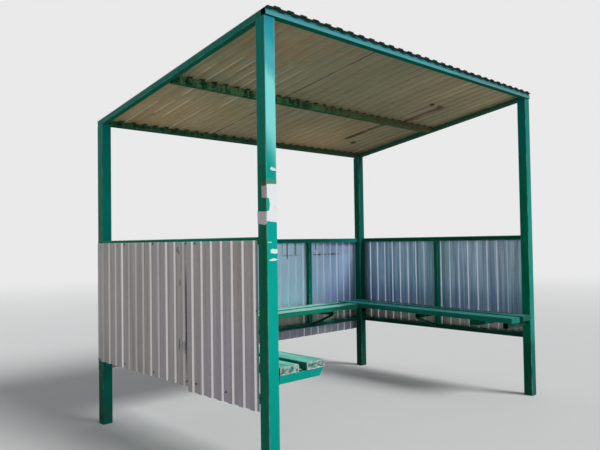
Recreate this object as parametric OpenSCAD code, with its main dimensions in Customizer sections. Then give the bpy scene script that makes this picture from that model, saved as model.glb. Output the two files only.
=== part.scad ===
/* [Frame] */
// Width over the outer faces of the posts
frame_w = 3050; // [2400:10:4200]
// Depth over the outer faces of the posts
frame_d = 2000; // [1600:10:2600]
// Height of the front posts at their front face
front_h = 2582; // [2350:1:3000]
// Height of the back posts at their back face
back_h = 2270; // [2050:1:2340]
// Side of the square posts
post = 76; // [60:1:100]
// Side of the square rails
rail = 40; // [30:1:50]
// Depth of the middle purlin
purlin_h = 50; // [40:1:80]
// Wall thickness of the posts
post_t = 3; // [2:0.5:5]
// Wall thickness of the rails
rail_t = 2; // [1.5:0.5:3]
// How far the front roof rail stands in front of the posts
front_rail_out = 10; // [0:1:20]
// How far the roof rails lie inside the posts' outer faces
roof_rail_in = 5; // [0:1:15]

/* [Roof] */
// Sheet edge in front of the posts
roof_front = 30; // [15:1:60]
// Sheet edge behind the posts
roof_back = 12; // [5:1:60]
// Sheet edges inside the posts' outer faces, over the side rails
roof_sheet_in = 6; // [5:1:30]
// Ribs that the left roof sheet covers, cut narrower to fit
left_roof_ribs = 10; // [8:1:11]

/* [Walls] */
// Top of the wall rails
wall_top = 1385; // [1200:1:1700]
// Top of the lower rails
lower_rail_top = 530; // [400:1:560]
// Side wall studs, from the front face of the posts to the stud's middle
side_stud = 980; // [760:1:1200]
// Back wall studs, from the outer face of the nearest post to the stud's middle
back_stud = 803; // [560:1:1000]
// Rail left bare above the sheets
rail_bare = 18; // [5:1:30]
// Foot of the left wall's front sheet
left_front_bottom = 447; // [350:1:500]
// Foot of the left wall's back sheet
left_back_bottom = 475; // [350:1:500]
// Foot of the back wall's sheets
back_bottom = 400; // [350:1:500]
// Foot of the right wall's sheets
right_bottom = 494; // [350:1:500]

/* [Sheet] */
// Distance from rib to rib
pitch = 100; // [80:1:130]
// Height of a rib over the sheet's back
rib_h = 10; // [7:0.5:14]
// Width of a rib's flat top
crest = 42; // [30:1:50]
// Width taken by a rib's sloping side
flank = 8; // [4:1:12]
// Thickness of the sheet
sheet_t = 0.8; // [0.5:0.1:1.5]
// Ribs that one full sheet covers
sheet_ribs = 11; // [9:1:12]

/* [Bench] */
// Top of the back and right seats
bench_top = 727; // [690:1:800]
// Width of a plank
plank_w = 140; // [100:1:170]
// Thickness of a plank
plank_t = 45; // [30:1:50]
// Gap between the two planks of a seat
plank_gap = 60; // [20:1:90]
// Side of the square arms that hold the planks
arm = 45; // [35:1:50]
// How far the side benches' stud and corner arms stop short of the seat's front edge
side_arm_short = 60; // [10:1:90]
// How far the back bench's arms stop short of the seat's front edge
back_arm_short = 88; // [10:1:110]
// Gap between the back bench and the right bench
back_bench_gap = 103; // [3:1:160]
// How much lower the right bench stands at its front end than at its back end
right_bench_drop = 30; // [0:1:40]
// Side of the braces under the arms
brace = 22; // [16:1:28]
// Wall thickness of the braces
brace_t = 1.5; // [1:0.5:2.5]
// How far the side planks stand in front of the posts
plank_out = 5; // [0:1:30]
// Width of the cleats under the side benches
cleat_w = 90; // [60:1:120]
// Front face of the posts to the middle of a cleat
cleat_y = 350; // [250:1:500]
// How much of the left front arm's end is cut back at the foot
arm_slant = 35; // [0:1:45]

/* [Hidden] */
$fn = 32;
// Clearances between parts that touch, beside the posts, and at the ends of planks and cleats
seat = 0.3;
post_gap = 2;
wall_gap = 15;
paint = [0.05, 0.42, 0.36];
zinc = [0.55, 0.55, 0.55];
bench_paint = [0.08, 0.5, 0.4];
far = 6000;

slope = atan((front_h - back_h) / frame_d);
roof_len = frame_d / cos(slope);
left = -frame_w / 2;
right = frame_w / 2;
roof_top = rail + seat + rib_h + sheet_t + seat;
front_reach = max(front_rail_out * cos(slope), roof_front * cos(slope) - (rail + seat) * sin(slope));
back_reach = roof_back * cos(slope) + roof_top * sin(slope);
front = (front_reach - frame_d - back_reach) / 2;
back = front + frame_d;

rise = rib_h - sheet_t;
flank_angle = atan(rise / flank);
lap = sheet_t + seat;
rib_w = crest + 2 * flank;
flat = pitch - rib_w;
// Start of rib 0, from the front on the side walls and from the right end on the back wall
left_sheet_phase = 99;
right_sheet_phase = 92;
back_sheet_phase = 60;
side_start = post + post_gap;
// Rib at which the two sheets of a side wall lap
side_seam = 6;
// More ribs than any wall or roof is wide
last_rib = 60;

outer_plank = post + post_gap;
inner_plank = outer_plank + plank_w + plank_gap;
bench_edge = inner_plank + plank_w;
left_bench_top = bench_top - plank_t - seat;
under_planks = bench_top - plank_t;
stud_face = rail;
side_arm_end = bench_edge - side_arm_short;
back_arm_end = bench_edge - back_arm_short;
bench_run = frame_d - post;

// A rounded square tube along +Z, its corner at the origin
module tube(w, d, len, t, r) {
  linear_extrude(len)
    difference() {
      rounded_square(w, d, r);
      translate([t, t])
        rounded_square(w - 2 * t, d - 2 * t, max(r - t, 0.5));
    }
}

module rounded_square(w, d, r) {
  translate([r, 0])
    square([w - 2 * r, d]);
  translate([0, r])
    square([w, d - 2 * r]);
  for (x = [r, w - r], y = [r, d - r])
    translate([x, y])
      circle(r);
}

// Tubes that run along X or Y from their low corner
module tube_x(len, d, h, t = rail_t) {
  translate([0, 0, h])
    rotate([0, 90, 0])
      tube(h, d, len, t, 2 * t);
}

module tube_y(w, len, h, t = rail_t) {
  translate([0, len, 0])
    rotate([90, 0, 0])
      tube(w, h, len, t, 2 * t);
}

// Puts a roof part, drawn flat from the posts' front faces, on the slope
module on_roof() {
  translate([0, front, front_h])
    rotate([-slope, 0, 0])
      children();
}

module post_at(x, y) {
  color(paint)
    difference() {
      translate([x, y, 0])
        tube(post, post, front_h + 10, post_t, 2 * post_t);
      on_roof()
        translate([-far / 2, -far / 2, -seat])
          cube([far, far, 500]);
    }
}

// A rib's foot, on the side dir, of a rib pushed out by d and ended at a height
function foot(x, dir, d, height) = [x + dir * (d / sin(flank_angle) - height / tan(flank_angle)), height];

// Underside of one rib, pushed out by d so that it covers a like rib
function rib(x, d, start_height, end_height) = [
  foot(x, -1, d, start_height),
  [x + flank - d * tan(flank_angle / 2), rise + d],
  [x + flank + crest + d * tan(flank_angle / 2), rise + d],
  foot(x + rib_w, 1, d, end_height)
];

function normal(a, b) = let (v = b - a) [-v[1], v[0]] / norm(v);

function thicken(p, t) = [
  for (i = [0 : len(p) - 1])
    let (
      before = normal(p[max(i - 1, 0)], p[max(i, 1)]),
      after = normal(p[min(i, len(p) - 2)], p[min(i + 1, len(p) - 1)])
    )
    p[i] + t * (before + after) / (1 + before * after)
];

// Underside of a sheet. Each end is a flat "edge", or lies "under" or "over" the next sheet's rib
function sheet_line(phase, first, last, start, end) = concat(
  start == "edge" ? [[phase + first * pitch - flat, 0]] : [],
  [
    for (i = [first : last])
      let (over_start = i == first && start == "over", over_end = i == last && end == "over")
      each rib(
        phase + i * pitch, over_start || over_end ? lap : 0,
        over_start ? lap : 0, over_end ? lap : 0
      )
  ],
  end == "edge" ? [[phase + last * pitch + rib_w + flat, 0]] : []
);

module sheet_profile(phase, first, last, start, end, from, to) {
  under = sheet_line(phase, first, last, start, end);
  over = thicken(under, sheet_t);
  intersection() {
    polygon(concat(under, [for (i = [len(over) - 1 : -1 : 0]) over[i]]));
    translate([from, -1])
      square([to - from, rib_h + 4]);
  }
}

// Upright sheet: the profile's run is +X, its ribs point to +Y
module upright(bottom) {
  translate([0, 0, bottom])
    linear_extrude(wall_top - rail_bare - bottom)
      children();
}

module left_side() {
  translate([left - seat, front, 0])
    rotate([0, 0, 90])
      children();
}

module right_side() {
  mirror([1, 0, 0])
    left_side()
      children();
}

module front_left_post() {
  post_at(left, front);
}

module front_right_post() {
  post_at(right - post, front);
}

module back_left_post() {
  post_at(left, back - post);
}

module back_right_post() {
  post_at(right - post, back - post);
}

module roof_front_rail() {
  color(paint)
    on_roof()
      translate([left + roof_rail_in, -front_rail_out, 0])
        tube_x(frame_w - 2 * roof_rail_in, rail, rail);
}

module roof_side_rail(x) {
  start = rail - front_rail_out + seat;
  color(paint)
    on_roof()
      translate([x, start, 0])
        tube_y(rail, roof_len - start, rail);
}

module roof_left_rail() {
  roof_side_rail(left + roof_rail_in);
}

module roof_right_rail() {
  roof_side_rail(right - roof_rail_in - rail);
}

module roof_cross_rail(y, h) {
  start = roof_rail_in + rail + seat;
  color(paint)
    on_roof()
      translate([left + start, y, rail - h])
        tube_x(frame_w - 2 * start, rail, h);
}

module roof_back_rail() {
  roof_cross_rail(roof_len - post / 2 - rail / 2, rail);
}

module roof_purlin() {
  roof_cross_rail(roof_len / 2 - rail / 2, purlin_h);
}

module roof_sheet(first, last, start, end) {
  color(zinc)
    on_roof()
      translate([left, roof_len + roof_back, rail + seat])
        rotate([90, 0, 0])
          linear_extrude(roof_len + roof_front + roof_back)
            sheet_profile(roof_sheet_in + flat, first, last, start, end, 0, frame_w - roof_sheet_in);
}

module roof_left_sheet() {
  roof_sheet(0, left_roof_ribs, "edge", "over");
}

module roof_middle_sheet() {
  roof_sheet(left_roof_ribs, left_roof_ribs + sheet_ribs, "under", "under");
}

module roof_right_sheet() {
  roof_sheet(left_roof_ribs + sheet_ribs, last_rib, "over", "edge");
}

module side_rail(x, top) {
  color(paint)
    translate([x, front + post + seat, top - rail])
      tube_y(rail, frame_d - 2 * post - 2 * seat, rail);
}

module back_rail(top) {
  color(paint)
    translate([left + post + seat, back - rail, top - rail])
      tube_x(frame_w - 2 * post - 2 * seat, rail, rail);
}

module left_wall_top_rail() {
  side_rail(left, wall_top);
}

module left_wall_lower_rail() {
  side_rail(left, lower_rail_top);
}

module right_wall_top_rail() {
  side_rail(right - rail, wall_top);
}

module right_wall_lower_rail() {
  side_rail(right - rail, lower_rail_top);
}

module back_wall_top_rail() {
  back_rail(wall_top);
}

module back_wall_lower_rail() {
  back_rail(lower_rail_top);
}

module stud(x, y) {
  color(paint)
    translate([x, y, lower_rail_top + seat])
      tube(rail, rail, wall_top - rail - lower_rail_top - 2 * seat, rail_t, 2 * rail_t);
}

module left_wall_stud() {
  stud(left, front + side_stud - rail / 2);
}

module right_wall_stud() {
  stud(right - rail, front + side_stud - rail / 2);
}

module back_wall_left_stud() {
  stud(left + back_stud - rail / 2, back - rail);
}

module back_wall_right_stud() {
  stud(right - back_stud - rail / 2, back - rail);
}

module left_wall_front_sheet() {
  color(zinc)
    left_side()
      upright(left_front_bottom)
        sheet_profile(left_sheet_phase, -1, side_seam, "edge", "over", side_start, far);
}

module left_wall_back_sheet() {
  color(zinc)
    left_side()
      upright(left_back_bottom)
        sheet_profile(left_sheet_phase, side_seam, last_rib, "under", "edge", 0, frame_d);
}

module right_wall_front_sheet() {
  color(zinc)
    right_side()
      upright(right_bottom)
        sheet_profile(right_sheet_phase, -1, side_seam, "edge", "over", side_start, far);
}

module right_wall_back_sheet() {
  color(zinc)
    right_side()
      upright(right_bottom)
        sheet_profile(right_sheet_phase, side_seam, last_rib, "under", "edge", 0, frame_d);
}

module back_wall_sheet(first, last, start, end, from, to) {
  color(zinc)
    translate([right, back + seat, 0])
      mirror([1, 0, 0])
        upright(back_bottom)
          sheet_profile(back_sheet_phase, first, last, start, end, from, to);
}

module back_wall_right_sheet() {
  back_wall_sheet(0, sheet_ribs, "edge", "under", 0, far);
}

module back_wall_middle_sheet() {
  back_wall_sheet(sheet_ribs, 2 * sheet_ribs, "over", "over", 0, far);
}

module back_wall_left_sheet() {
  back_wall_sheet(2 * sheet_ribs, last_rib, "under", "edge", 0, frame_w);
}

// One plank along Y, measured from the left posts' outer faces
module side_plank(x, top) {
  translate([left + x, front - plank_out, top - plank_t])
    cube([plank_w, plank_out + frame_d - rail - wall_gap, plank_t]);
}

// Sinks the front end of a part of the right bench, drawn at the left wall, and mirrors it
module right_bench() {
  mirror([1, 0, 0])
    translate([0, front + bench_run, under_planks])
      rotate([atan(right_bench_drop / bench_run), 0, 0])
        translate([0, -front - bench_run, -under_planks])
          children();
}

module left_bench_outer_plank() {
  color(bench_paint)
    side_plank(outer_plank, left_bench_top);
}

module left_bench_inner_plank() {
  color(bench_paint)
    side_plank(inner_plank, left_bench_top);
}

module right_bench_outer_plank() {
  color(bench_paint)
    right_bench()
      side_plank(outer_plank, bench_top);
}

module right_bench_inner_plank() {
  color(bench_paint)
    right_bench()
      side_plank(inner_plank, bench_top);
}

module back_plank(y) {
  translate([left + outer_plank, back - y - plank_w, bench_top - plank_t])
    cube([frame_w - outer_plank - bench_edge - back_bench_gap, plank_w, plank_t]);
}

module back_bench_outer_plank() {
  color(bench_paint)
    back_plank(outer_plank);
}

module back_bench_inner_plank() {
  color(bench_paint)
    back_plank(inner_plank);
}

// An arm along +X from a face at the origin, its end cut back by slant at the foot
module bench_arm(reach, slant = 0) {
  difference() {
    translate([seat, -arm / 2, 0])
      tube_x(reach - seat, arm, arm);
    translate([reach, 0, arm])
      rotate([0, atan(slant / arm), 0])
        translate([0, -arm, -2 * arm])
          cube([arm, 2 * arm, 4 * arm]);
  }
}

// How far a bench with this drop is sunk at y from the posts' front faces
function sunk(drop, y) = drop * (bench_run - y) / bench_run;

function arm_bottom(top) = top - plank_t - seat - arm;

// An arm from the back post's corner, notched to fit round it
module corner_arm(z, drop) {
  reach = (side_arm_end - post) * sqrt(2);
  difference() {
    translate([left + post, back - post, z - sunk(drop, frame_d - side_arm_end)])
      rotate([0, 0, -45])
        translate([-arm / 2, 0, 0])
          bench_arm(reach);
    translate([left, back - post - seat, 0])
      cube([post + seat, post + seat, bench_top]);
  }
}

module side_arms(top, drop, post_arm_y, slant) {
  z = arm_bottom(top);
  translate([left + post, front + post_arm_y, z - sunk(drop, post_arm_y - arm / 2)])
    bench_arm(bench_edge - post_gap - post, slant);
  translate([left + stud_face, front + side_stud, z - sunk(drop, side_stud - arm / 2)])
    bench_arm(side_arm_end - stud_face);
  corner_arm(z, drop);
}

module left_bench_arms() {
  color(paint)
    side_arms(left_bench_top, 0, arm / 2, arm_slant);
}

module right_bench_arms() {
  color(paint)
    mirror([1, 0, 0])
      side_arms(bench_top, right_bench_drop, post - arm / 2, 0);
}

module back_bench_arms() {
  color(paint)
    for (x = [left + back_stud, right - back_stud])
      translate([x, back - stud_face, arm_bottom(bench_top)])
        rotate([0, 0, -90])
          bench_arm(back_arm_end - stud_face);
}

// A brace along +X from the lower rail's face at the origin up to the end of an arm's underside
module bench_brace(run, top) {
  low = lower_rail_top - rail / 2;
  intersection() {
    translate([0, -brace / 2, low])
      rotate([0, -atan((top - low) / run), 0])
        translate([-brace, 0, -brace / 2])
          tube_x(2 * run, brace, brace, brace_t);
    translate([seat, -brace, 0])
      cube([run, 2 * brace, top - seat]);
  }
}

module bench_braces() {
  side_run = side_arm_end - stud_face - seat;
  back_run = back_arm_end - stud_face - seat;
  color(paint) {
    translate([left + stud_face, front + side_stud, 0])
      bench_brace(side_run, arm_bottom(left_bench_top));
    mirror([1, 0, 0])
      translate([left + stud_face, front + side_stud, 0])
        bench_brace(side_run, arm_bottom(bench_top) - sunk(right_bench_drop, side_stud - arm / 2));
    for (x = [left + back_stud, right - back_stud])
      translate([x, back - stud_face, 0])
        rotate([0, 0, -90])
          bench_brace(back_run, arm_bottom(bench_top));
  }
}

module cleat(top) {
  color(bench_paint)
    translate([left + outer_plank + wall_gap, front + cleat_y - cleat_w / 2, top - 2 * plank_t - seat])
      cube([bench_edge - outer_plank - 2 * wall_gap, cleat_w, plank_t]);
}

module left_bench_cleat() {
  cleat(left_bench_top);
}

module right_bench_cleat() {
  right_bench()
    cleat(bench_top);
}

front_left_post();
front_right_post();
back_left_post();
back_right_post();
roof_front_rail();
roof_back_rail();
roof_left_rail();
roof_right_rail();
roof_purlin();
roof_left_sheet();
roof_middle_sheet();
roof_right_sheet();
left_wall_top_rail();
back_wall_top_rail();
right_wall_top_rail();
left_wall_lower_rail();
back_wall_lower_rail();
right_wall_lower_rail();
left_wall_stud();
back_wall_left_stud();
back_wall_right_stud();
right_wall_stud();
left_wall_front_sheet();
left_wall_back_sheet();
back_wall_left_sheet();
back_wall_middle_sheet();
back_wall_right_sheet();
right_wall_front_sheet();
right_wall_back_sheet();
left_bench_outer_plank();
left_bench_inner_plank();
back_bench_outer_plank();
back_bench_inner_plank();
right_bench_outer_plank();
right_bench_inner_plank();
left_bench_arms();
back_bench_arms();
right_bench_arms();
bench_braces();
left_bench_cleat();
right_bench_cleat();
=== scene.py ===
import math
import random
from functools import partialmethod

import bmesh
import bpy
import numpy as np
from mathutils import Matrix, Vector, noise


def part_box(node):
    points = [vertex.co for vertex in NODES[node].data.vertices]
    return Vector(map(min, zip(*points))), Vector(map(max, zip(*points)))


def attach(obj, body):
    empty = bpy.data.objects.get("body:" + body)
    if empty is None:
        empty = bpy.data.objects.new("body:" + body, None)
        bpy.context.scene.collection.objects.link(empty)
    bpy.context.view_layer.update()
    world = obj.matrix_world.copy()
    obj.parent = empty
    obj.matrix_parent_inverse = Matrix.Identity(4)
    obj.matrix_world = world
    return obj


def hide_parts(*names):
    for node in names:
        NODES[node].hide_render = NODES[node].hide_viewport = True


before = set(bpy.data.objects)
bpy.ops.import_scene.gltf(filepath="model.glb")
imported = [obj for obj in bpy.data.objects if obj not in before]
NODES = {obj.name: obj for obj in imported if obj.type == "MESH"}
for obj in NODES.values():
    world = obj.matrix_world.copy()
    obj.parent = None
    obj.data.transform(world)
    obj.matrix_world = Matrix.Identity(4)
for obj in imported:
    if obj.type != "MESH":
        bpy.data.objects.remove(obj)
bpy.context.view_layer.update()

# Places and sizes in metres, from the frame and as in the part's source
LEFT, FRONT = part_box("front_left_post")[0][:2]
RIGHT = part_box("front_right_post")[1][0]
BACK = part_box("back_left_post")[1][1]
FRONT_H, BACK_H = 2.582, 2.270
POST, POST_R, RAIL = 0.076, 0.006, 0.040
SEAT, SHEET_T = 0.0003, 0.0008
PITCH, FLAT = 0.100, 0.042
RIGHT_PHASE, BACK_PHASE = 0.092, 0.060
SHEET_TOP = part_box("left_wall_back_sheet")[1][2]
LOWER_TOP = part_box("left_wall_lower_rail")[1][2]
SIDE_STUD, BACK_STUD, SIDE_SEAM = 0.980, 0.803, 0.757
ARM, PLANK_W, PLANK_T = 0.045, 0.140, 0.045
OUTER_PLANK, INNER_PLANK = 0.078, 0.278
BENCH_TOP, BENCH_DROP = 0.727, 0.030
PLANK_OUT, PLANK_LEN = 0.005, 1.950
BENCH_RUN = BACK - FRONT - POST
ROOF_CREST, ROOF_FLAT = 0.077, 0.027
SLOPE = math.atan((FRONT_H - BACK_H) / (BACK - FRONT))
ROOF_LEN = (BACK - FRONT) / math.cos(SLOPE)
SKIN = SEAT + SHEET_T
ROOF = Matrix.Translation((0, FRONT, FRONT_H)) @ Matrix.Rotation(-SLOPE, 4, "X")


def rgb(r, g, b):
    """A colour written as it shows, 0 to 255, as the linear colour of a shader."""
    shown = (r / 255, g / 255, b / 255)
    return (*(c / 12.92 if c <= 0.04045 else ((c + 0.055) / 1.055) ** 2.4 for c in shown), 1.0)


class Nodes:
    """A node tree, written as expressions."""

    def __init__(self, tree):
        self.tree = tree
        tree.nodes.clear()

    def add(self, kind, inputs=None, **settings):
        node = self.tree.nodes.new(kind)
        for key, value in settings.items():
            setattr(node, key, value)
        for key, value in (inputs or {}).items():
            self.put(node.inputs[key], value)
        return node

    def put(self, socket, value):
        if isinstance(value, bpy.types.NodeSocket):
            self.tree.links.new(value, socket)
        else:
            socket.default_value = value

    def math(self, operation, a, b=0):
        return self.add("ShaderNodeMath", {0: a, 1: b}, operation=operation).outputs[0]

    def chain(self, operation, *values):
        result = values[0]
        for value in values[1:]:
            result = self.math(operation, result, value)
        return result

    plus = partialmethod(chain, "ADD")
    less = partialmethod(chain, "SUBTRACT")
    times = partialmethod(chain, "MULTIPLY")
    any = partialmethod(chain, "MAXIMUM")


class Shade(Nodes):
    """One material's node tree."""

    def __init__(self, name, tilt=0):
        self.material = bpy.data.materials.new(name)
        self.material.use_nodes = True
        super().__init__(self.material.node_tree)
        self.bsdf = self.add("ShaderNodeBsdfPrincipled")
        self.out = self.add("ShaderNodeOutputMaterial", {0: self.bsdf.outputs[0]})
        self.point = self.add("ShaderNodeTexCoord").outputs["Object"]
        if tilt:
            turn = {"Vector": self.point, "Angle": tilt}
            self.point = self.add("ShaderNodeVectorRotate", turn, rotation_type="X_AXIS").outputs[0]
        self.x, self.y, self.z = (self.axis(n, self.point) for n in range(3))

    def set(self, **values):
        for key, value in values.items():
            self.put(self.bsdf.inputs[key.replace("_", " ")], value)

    def axis(self, n, point):
        return self.add("ShaderNodeSeparateXYZ", {0: point}).outputs[n]

    def faces(self, n, low, high):
        """1 where a face's outward direction along an axis is past high, 0 before low."""
        normal = self.add("ShaderNodeNewGeometry").outputs["True Normal"]
        return self.step(self.axis(n, normal), low, high)

    def noise(self, stretch, seed, detail=3, rough=0.55, distort=0):
        """Cloud noise with so many spots a metre along each axis."""
        if isinstance(stretch, (int, float)):
            stretch = (stretch,) * 3
        offset = (seed * 1.73, seed * 3.11, seed * 2.37)
        spread = {0: self.point, 1: stretch, 2: offset}
        vector = self.add("ShaderNodeVectorMath", spread, operation="MULTIPLY_ADD").outputs[0]
        values = {"Vector": vector, "Scale": 1, "Detail": detail, "Roughness": rough}
        return self.add("ShaderNodeTexNoise", {**values, "Distortion": distort}).outputs[0]

    def uneven(self, *settings):
        """Noise about zero, for ragged edges."""
        return self.less(self.noise(*settings), 0.5)

    def step(self, value, low, high, to_low=0, to_high=1):
        values = {"Value": value, "From Min": low, "From Max": high, "To Min": to_low, "To Max": to_high}
        return self.add("ShaderNodeMapRange", values, interpolation_type="SMOOTHSTEP").outputs[0]

    def between(self, value, low, high, soft):
        """1 from low to high, 0 past the soft edges."""
        past_low = self.step(value, low - soft, low + soft)
        return self.times(past_low, self.step(value, high + soft, high - soft))

    def near(self, value, at, wide, narrow):
        """1 within narrow of a place, 0 past wide of it."""
        return self.step(self.math("ABSOLUTE", self.less(value, at)), wide, narrow)

    def oval(self, a, b, at, size, rag=0):
        """A mark on a face, its place and half sizes in metres, its edge made ragged by rag."""
        across = self.math("DIVIDE", self.less(a, at[0]), size[0])
        up = self.math("DIVIDE", self.less(b, at[1]), size[1])
        away = self.math("SQRT", self.plus(self.times(across, across), self.times(up, up)))
        return self.step(self.plus(away, rag), 1.25, 0.75)

    def mix(self, factor, a, b):
        return self.add("ShaderNodeMix", {0: factor, 6: a, 7: b}, data_type="RGBA").outputs[2]

    def coats(self, colour, layers):
        """Lays tones over a colour in turn, each by the product of its shares."""
        for tone, *shares in layers:
            colour = self.mix(self.times(*shares), colour, tone)
        return colour

    def bump(self, height, distance, normal=None):
        node = self.add("ShaderNodeBump", {"Height": height, "Distance": distance})
        if normal is not None:
            self.put(node.inputs["Normal"], normal)
        return node.outputs[0]


def drawn(along, scale, long_scale):
    """Noise scales that are alike but for the one along an axis."""
    return tuple(long_scale if n == along else scale for n in range(3))


# Camera, light and floor

CAMERA_AT = (LEFT - 2.1077, FRONT - 2.474172, 1.3551)
# Its yaw, its pitch from straight down and its roll, in degrees
CAMERA_TURNS = ("Z", -43.547), ("X", 91.5908), ("Z", -0.8514)
CAMERA_LENS, CAMERA_SENSOR = 36.64, 36
BACKDROP = (0.82, 0.82, 0.82, 1)
SKY_LIGHT = (0.94, 0.98, 1, 1)
FLOOR_LIT, FLOOR_SHOWN = rgb(176, 170, 162), rgb(220, 220, 220)


def new_mesh(name, verts, faces):
    mesh = bpy.data.meshes.new(name)
    mesh.from_pydata(verts, [], faces)
    return mesh


def new_object(name, data):
    thing = bpy.data.objects.new(name, data)
    bpy.context.scene.collection.objects.link(thing)
    return thing


def add_camera():
    data = bpy.data.cameras.new("camera")
    data.sensor_width = CAMERA_SENSOR
    data.lens = CAMERA_LENS
    place = Matrix.Translation(CAMERA_AT)
    for axis, angle in CAMERA_TURNS:
        place = place @ Matrix.Rotation(math.radians(angle), 4, axis)
    camera = new_object("camera", data)
    camera.matrix_world = place
    bpy.context.scene.camera = camera


def add_sun(energy, azimuth, height, softness):
    """A soft sun, its azimuth measured from straight in front towards the right."""
    sun = bpy.data.lights.new("key", "SUN")
    sun.energy = energy
    sun.angle = math.radians(softness)
    new_object("key", sun).rotation_euler = math.radians(90 - height), 0, math.radians(azimuth)


def add_world(fill):
    """Light from all round, with the plain backdrop where it is seen or reflected."""
    world = bpy.data.worlds.new("studio")
    bpy.context.scene.world = world
    world.use_nodes = True
    s = Nodes(world.node_tree)
    path = s.add("ShaderNodeLightPath").outputs
    seen = s.any(*(path[f"Is {kind} Ray"] for kind in ("Camera", "Glossy", "Transmission")))
    light = s.add("ShaderNodeBackground", {0: SKY_LIGHT, 1: fill}).outputs[0]
    shown = s.add("ShaderNodeBackground", {0: BACKDROP}).outputs[0]
    mix = s.add("ShaderNodeMixShader", {0: seen, 1: light, 2: shown}).outputs[0]
    s.add("ShaderNodeOutputWorld", {0: mix})
    bpy.context.scene.view_settings.view_transform = "Standard"


def add_floor(radius, fade_from, fade_to, corners=96):
    """A pale floor that fades into the backdrop, lights like dull ground and is clear from below."""
    angles = np.linspace(0, 2 * math.pi, corners + 1)[:-1]
    ring = [(radius * math.cos(a), radius * math.sin(a), 0) for a in angles]
    mesh = new_mesh("floor", ring, [list(range(corners))])
    s = Shade("floor")
    path = s.add("ShaderNodeLightPath").outputs
    seen = s.any(path["Is Camera Ray"], path["Is Glossy Ray"])
    s.set(Base_Color=s.mix(seen, FLOOR_LIT, FLOOR_SHOWN), Roughness=0.9)
    away = s.math("SQRT", s.plus(s.times(s.x, s.x), s.times(s.y, s.y)))
    far = s.times(s.step(away, fade_from, fade_to), path["Is Camera Ray"])
    glow = s.add("ShaderNodeEmission", {0: BACKDROP, 1: 1}).outputs[0]
    blend = s.add("ShaderNodeMixShader", {0: far, 1: s.bsdf.outputs[0], 2: glow}).outputs[0]
    below = s.times(s.add("ShaderNodeNewGeometry").outputs["Backfacing"], path["Is Camera Ray"])
    clear = s.add("ShaderNodeBsdfTransparent").outputs[0]
    blend = s.add("ShaderNodeMixShader", {0: below, 1: blend, 2: clear}).outputs[0]
    s.put(s.out.inputs[0], blend)
    mesh.materials.append(s.material)
    floor = new_object("floor", mesh)


# Paint on the steel

# The sunlit tone and the sky tone are painted light, the underside tone is painted shade, and the dark
# green and dark olive are painted shade with some grime.
PAINT_DEEP, PAINT_MID, PAINT_FRESH = rgb(0, 120, 86), rgb(0, 138, 108), rgb(0, 186, 164)
PAINT_SUNLIT, SKY_REFLECTION, PAINT_PALE = rgb(0, 172, 160), rgb(4, 131, 134), rgb(118, 206, 188)
UNDERSIDE_SHADE = rgb(0, 84, 54)
STAIN_DEEP, STAIN_PALE, STAIN_BROWN = rgb(16, 60, 30), rgb(110, 154, 104), rgb(112, 104, 66)
WEATHER_AND_GLARE = rgb(24, 104, 124), rgb(84, 154, 164), rgb(94, 134, 138)
DARK_GREEN, DARK_OLIVE, SPLASH = rgb(0, 52, 38), rgb(20, 40, 18), rgb(58, 66, 52)
HOLLOW, DUST = rgb(14, 22, 20), rgb(120, 128, 104)
RUST, RUST_HALO = rgb(104, 58, 34), rgb(70, 96, 60)


def face_distances(s, box, along):
    """How far a point of a long box is from the nearest of each pair of its long faces."""
    near = []
    for n, value in enumerate((s.x, s.y, s.z)):
        if n != along:
            middle, half = (box[0][n] + box[1][n]) / 2, (box[1][n] - box[0][n]) / 2
            near.append(s.less(half, s.math("ABSOLUTE", s.less(value, middle))))
    return near


def front_post_layers(s):
    """The front left post: bluer high up, with a painted shadow under the rail and painted highlights on
    its front, darker low down and lighter high on its side, and dull glue.
    """
    face, side = s.faces(1, -0.6, -0.9), s.faces(0, -0.6, -0.9)
    across = s.less(s.x, LEFT)
    rag = s.times(s.uneven((18, 18, 5), 4, 3, 0.6), 0.1)
    height = s.plus(s.z, s.plus(s.times(across, 1.5), rag))
    high = s.step(height, 2.3, 2.36)
    bluer = s.step(s.plus(s.z, s.times(across, 0.8)), 2.4, 2.54)
    bluer = s.mix(bluer, rgb(78, 182, 196), rgb(40, 156, 176))
    glue = s.plus(s.z, s.times(s.uneven(70, 9, 3, 0.7), 0.02))
    return [
        (bluer, face, high, 0.9),
        # painted shadow of the front rail along the top of the front face
        (rgb(16, 112, 130), face, high, s.step(s.z, 2.52, 2.57), 0.4),
        # painted highlight on the front face
        (rgb(138, 230, 230), face, s.step(height, 2.38, 2.28), s.step(height, 1.8, 2.06), 0.9),
        # painted highlight down the right edge of the front face
        (rgb(168, 218, 200), face, s.step(across, 0.068, 0.073), s.step(s.z, 1.58, 1.68), 0.6),
        # darker low on the front and the side, lighter high on the side
        (DARK_GREEN, face, s.step(s.z, 1, 0.25, 0, 0.26)),
        (DARK_GREEN, side, s.step(s.z, 1.65, 1.35, 0, 0.22)),
        (rgb(0, 168, 150), side, s.step(s.z, 1.65, 1.95, 0, 0.3)),
        (rgb(96, 138, 118), face, s.between(glue, 1.672, 1.695, 0.004), 0.75),
        (rgb(0, 92, 72), side, s.between(glue, 1.757, 1.768, 0.003), 0.5),
    ]


def weathered(s, seed, along, box, cloud):
    """Paint bleached to blue and grey in broken lines, more so towards the lower edge; the pale blue-grey
    is partly a painted sky glare.
    """
    low, high = box[0][2], box[1][2]
    lines = s.uneven(drawn(along, 150, 3), seed + 8, 4, 0.65)
    worn_low = s.step(s.plus(s.z, s.times(lines, 0.03)), high - 0.008, low + 0.016)
    pale = s.mix(s.step(s.plus(s.times(s.x, 0.3), cloud), 0.4, 0.7), *WEATHER_AND_GLARE[1:])
    return s.mix(worn_low, WEATHER_AND_GLARE[0], pale)


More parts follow.
